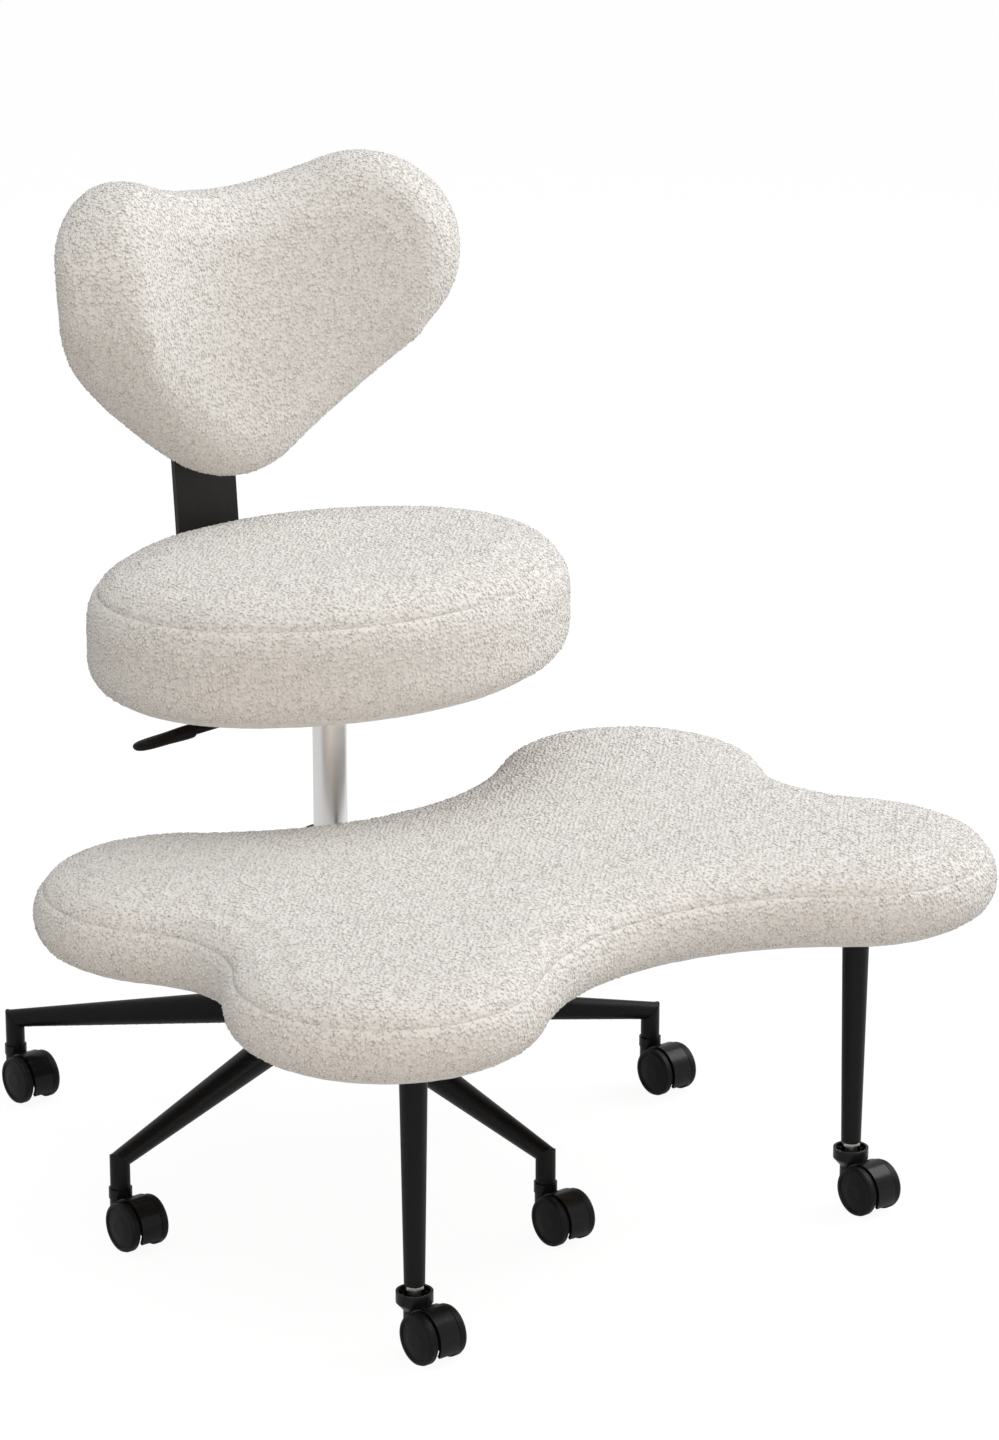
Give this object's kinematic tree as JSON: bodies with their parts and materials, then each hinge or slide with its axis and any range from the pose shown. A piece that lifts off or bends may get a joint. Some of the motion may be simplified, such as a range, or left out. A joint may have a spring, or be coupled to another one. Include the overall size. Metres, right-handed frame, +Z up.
{
  "type": "office chair",
  "caption": "Armless padded office chair with a wide rounded seat, heart-shaped back, gas lift and a butterfly-shaped footrest that swings round the column on wheeled legs.",
  "frame": {"origin": "where the axis of the gas-lift column meets the floor", "axes": "+Z up; the sitter faces -Y and the backrest is at +Y; the release lever is at -X, the sitter's right"},
  "size_m": [0.6998, 0.735, 0.7966],
  "materials": {
    "boucle": "matte looped pile",
    "plywood": "raw",
    "black_steel": "satin powder coat",
    "chrome_tube": "polished",
    "zinc_steel": "zinc plated",
    "black_fastener": "black oxide",
    "caster_hood": "semi-gloss",
    "caster_tread": "satin",
    "black_plastic": "fine grain"
  },
  "bodies": {
    "base": {"base_hub": "black_steel", "base_arm_1": "black_steel", "base_arm_2": "black_steel", "base_arm_3": "black_steel", "base_arm_4": "black_steel", "base_arm_5": "black_steel", "base_caster_stems": "zinc_steel", "gas_lift_tube": "black_steel", "gas_lift_bush": "black_plastic", "gas_lift_bearing": "zinc_steel"},
    "lift_rod": {"gas_lift_rod": "zinc_steel"},
    "seat": {"gas_lift_cylinder": "chrome_tube", "seat_mechanism": "black_steel", "seat_board": "plywood", "seat_cushion": "boucle", "seat_bolts": "black_fastener", "back_bar": "black_steel", "back_board": "plywood", "back_cushion": "boucle", "back_bolts": "black_fastener"},
    "release_pin": {"gas_lift_pin": "zinc_steel"},
    "lever": {"release_lever": "black_steel", "lever_grip": "black_plastic"},
    "footrest": {"footrest_collar": "black_steel", "footrest_bush": "black_plastic", "footrest_arm": "black_steel", "footrest_board": "plywood", "footrest_cushion": "boucle", "footrest_leg_left": "black_steel", "footrest_leg_right": "black_steel", "footrest_bolts": "black_fastener", "leg_caster_stems": "zinc_steel"},
    "base_caster_1_yoke": {"base_caster_1_housing": "caster_hood", "base_caster_1_axle": "zinc_steel"},
    "base_caster_1_wheel_right": {"base_caster_1_wheel_right": "caster_tread"},
    "base_caster_1_wheel_left": {"base_caster_1_wheel_left": "caster_tread"},
    "base_caster_2_yoke": {"base_caster_2_housing": "caster_hood", "base_caster_2_axle": "zinc_steel"},
    "base_caster_2_wheel_right": {"base_caster_2_wheel_right": "caster_tread"},
    "base_caster_2_wheel_left": {"base_caster_2_wheel_left": "caster_tread"},
    "base_caster_3_yoke": {"base_caster_3_housing": "caster_hood", "base_caster_3_axle": "zinc_steel"},
    "base_caster_3_wheel_right": {"base_caster_3_wheel_right": "caster_tread"},
    "base_caster_3_wheel_left": {"base_caster_3_wheel_left": "caster_tread"},
    "base_caster_4_yoke": {"base_caster_4_housing": "caster_hood", "base_caster_4_axle": "zinc_steel"},
    "base_caster_4_wheel_right": {"base_caster_4_wheel_right": "caster_tread"},
    "base_caster_4_wheel_left": {"base_caster_4_wheel_left": "caster_tread"},
    "base_caster_5_yoke": {"base_caster_5_housing": "caster_hood", "base_caster_5_axle": "zinc_steel"},
    "base_caster_5_wheel_right": {"base_caster_5_wheel_right": "caster_tread"},
    "base_caster_5_wheel_left": {"base_caster_5_wheel_left": "caster_tread"},
    "leg_caster_right_yoke": {"leg_caster_right_housing": "caster_hood", "leg_caster_right_axle": "zinc_steel"},
    "leg_caster_right_wheel_right": {"leg_caster_right_wheel_right": "caster_tread"},
    "leg_caster_right_wheel_left": {"leg_caster_right_wheel_left": "caster_tread"},
    "leg_caster_left_yoke": {"leg_caster_left_housing": "caster_hood", "leg_caster_left_axle": "zinc_steel"},
    "leg_caster_left_wheel_right": {"leg_caster_left_wheel_right": "caster_tread"},
    "leg_caster_left_wheel_left": {"leg_caster_left_wheel_left": "caster_tread"}
  },
  "joints": [
    {"name": "seat_swivel", "type": "hinge", "parent": "base", "child": "lift_rod", "pos_m": [0, 0, 0.074], "axis": [0, 0, 1], "continuous": true},
    {"name": "seat_lift", "type": "slide", "parent": "lift_rod", "child": "seat", "axis": [0, 0, 1], "range_m": [-0.035, 0.045]},
    {"name": "lever_lift", "type": "hinge", "parent": "seat", "child": "lever", "pos_m": [-0.028, 0.003, 0.384], "axis": [0, 1, 0], "range_deg": [0, 6], "stiffness_Nm_per_rad": 3, "springref_deg": -5.73},
    {"name": "release_press", "type": "slide", "parent": "seat", "child": "release_pin", "axis": [0, 0, 1], "range_m": [-0.004, 0]},
    {"name": "footrest_swivel", "type": "hinge", "parent": "base", "child": "footrest", "pos_m": [0, 0, 0.19], "axis": [0, 0, 1], "continuous": true},
    {"name": "base_caster_1_swivel", "type": "hinge", "parent": "base", "child": "base_caster_1_yoke", "pos_m": [0.17219, 0.22685, 0.04], "axis": [0, 0, 1], "continuous": true},
    {"name": "base_caster_1_roll_right", "type": "hinge", "parent": "base_caster_1_yoke", "child": "base_caster_1_wheel_right", "pos_m": [0.17219, 0.20485, 0.02], "axis": [1, 0, 0], "continuous": true},
    {"name": "base_caster_1_roll_left", "type": "hinge", "parent": "base_caster_1_yoke", "child": "base_caster_1_wheel_left", "pos_m": [0.17219, 0.20485, 0.02], "axis": [1, 0, 0], "continuous": true},
    {"name": "base_caster_2_swivel", "type": "hinge", "parent": "base", "child": "base_caster_2_yoke", "pos_m": [-0.16254, 0.23386, 0.04], "axis": [0, 0, 1], "continuous": true},
    {"name": "base_caster_2_roll_right", "type": "hinge", "parent": "base_caster_2_yoke", "child": "base_caster_2_wheel_right", "pos_m": [-0.16254, 0.21186, 0.02], "axis": [1, 0, 0], "continuous": true},
    {"name": "base_caster_2_roll_left", "type": "hinge", "parent": "base_caster_2_yoke", "child": "base_caster_2_wheel_left", "pos_m": [-0.16254, 0.21186, 0.02], "axis": [1, 0, 0], "continuous": true},
    {"name": "base_caster_3_swivel", "type": "hinge", "parent": "base", "child": "base_caster_3_yoke", "pos_m": [-0.27265, -0.08232, 0.04], "axis": [0, 0, 1], "continuous": true},
    {"name": "base_caster_3_roll_right", "type": "hinge", "parent": "base_caster_3_yoke", "child": "base_caster_3_wheel_right", "pos_m": [-0.27265, -0.10432, 0.02], "axis": [1, 0, 0], "continuous": true},
    {"name": "base_caster_3_roll_left", "type": "hinge", "parent": "base_caster_3_yoke", "child": "base_caster_3_wheel_left", "pos_m": [-0.27265, -0.10432, 0.02], "axis": [1, 0, 0], "continuous": true},
    {"name": "base_caster_4_swivel", "type": "hinge", "parent": "base", "child": "base_caster_4_yoke", "pos_m": [-0.00596, -0.28474, 0.04], "axis": [0, 0, 1], "continuous": true},
    {"name": "base_caster_4_roll_right", "type": "hinge", "parent": "base_caster_4_yoke", "child": "base_caster_4_wheel_right", "pos_m": [-0.00596, -0.30674, 0.02], "axis": [1, 0, 0], "continuous": true},
    {"name": "base_caster_4_roll_left", "type": "hinge", "parent": "base_caster_4_yoke", "child": "base_caster_4_wheel_left", "pos_m": [-0.00596, -0.30674, 0.02], "axis": [1, 0, 0], "continuous": true},
    {"name": "base_caster_5_swivel", "type": "hinge", "parent": "base", "child": "base_caster_5_yoke", "pos_m": [0.26896, -0.09366, 0.04], "axis": [0, 0, 1], "continuous": true},
    {"name": "base_caster_5_roll_right", "type": "hinge", "parent": "base_caster_5_yoke", "child": "base_caster_5_wheel_right", "pos_m": [0.26896, -0.11566, 0.02], "axis": [1, 0, 0], "continuous": true},
    {"name": "base_caster_5_roll_left", "type": "hinge", "parent": "base_caster_5_yoke", "child": "base_caster_5_wheel_left", "pos_m": [0.26896, -0.11566, 0.02], "axis": [1, 0, 0], "continuous": true},
    {"name": "leg_caster_right_swivel", "type": "hinge", "parent": "footrest", "child": "leg_caster_right_yoke", "pos_m": [-0.2223, -0.3929, 0.04], "axis": [0, 0, 1], "continuous": true},
    {"name": "leg_caster_right_roll_right", "type": "hinge", "parent": "leg_caster_right_yoke", "child": "leg_caster_right_wheel_right", "pos_m": [-0.2223, -0.4149, 0.02], "axis": [1, 0, 0], "continuous": true},
    {"name": "leg_caster_right_roll_left", "type": "hinge", "parent": "leg_caster_right_yoke", "child": "leg_caster_right_wheel_left", "pos_m": [-0.2223, -0.4149, 0.02], "axis": [1, 0, 0], "continuous": true},
    {"name": "leg_caster_left_swivel", "type": "hinge", "parent": "footrest", "child": "leg_caster_left_yoke", "pos_m": [0.2223, -0.3929, 0.04], "axis": [0, 0, 1], "continuous": true},
    {"name": "leg_caster_left_roll_right", "type": "hinge", "parent": "leg_caster_left_yoke", "child": "leg_caster_left_wheel_right", "pos_m": [0.2223, -0.4149, 0.02], "axis": [1, 0, 0], "continuous": true},
    {"name": "leg_caster_left_roll_left", "type": "hinge", "parent": "leg_caster_left_yoke", "child": "leg_caster_left_wheel_left", "pos_m": [0.2223, -0.4149, 0.02], "axis": [1, 0, 0], "continuous": true}
  ],
  "couplings": [
    {"joint": "release_press", "follows": "lever_lift", "m_per_rad": -0.028}
  ]
}
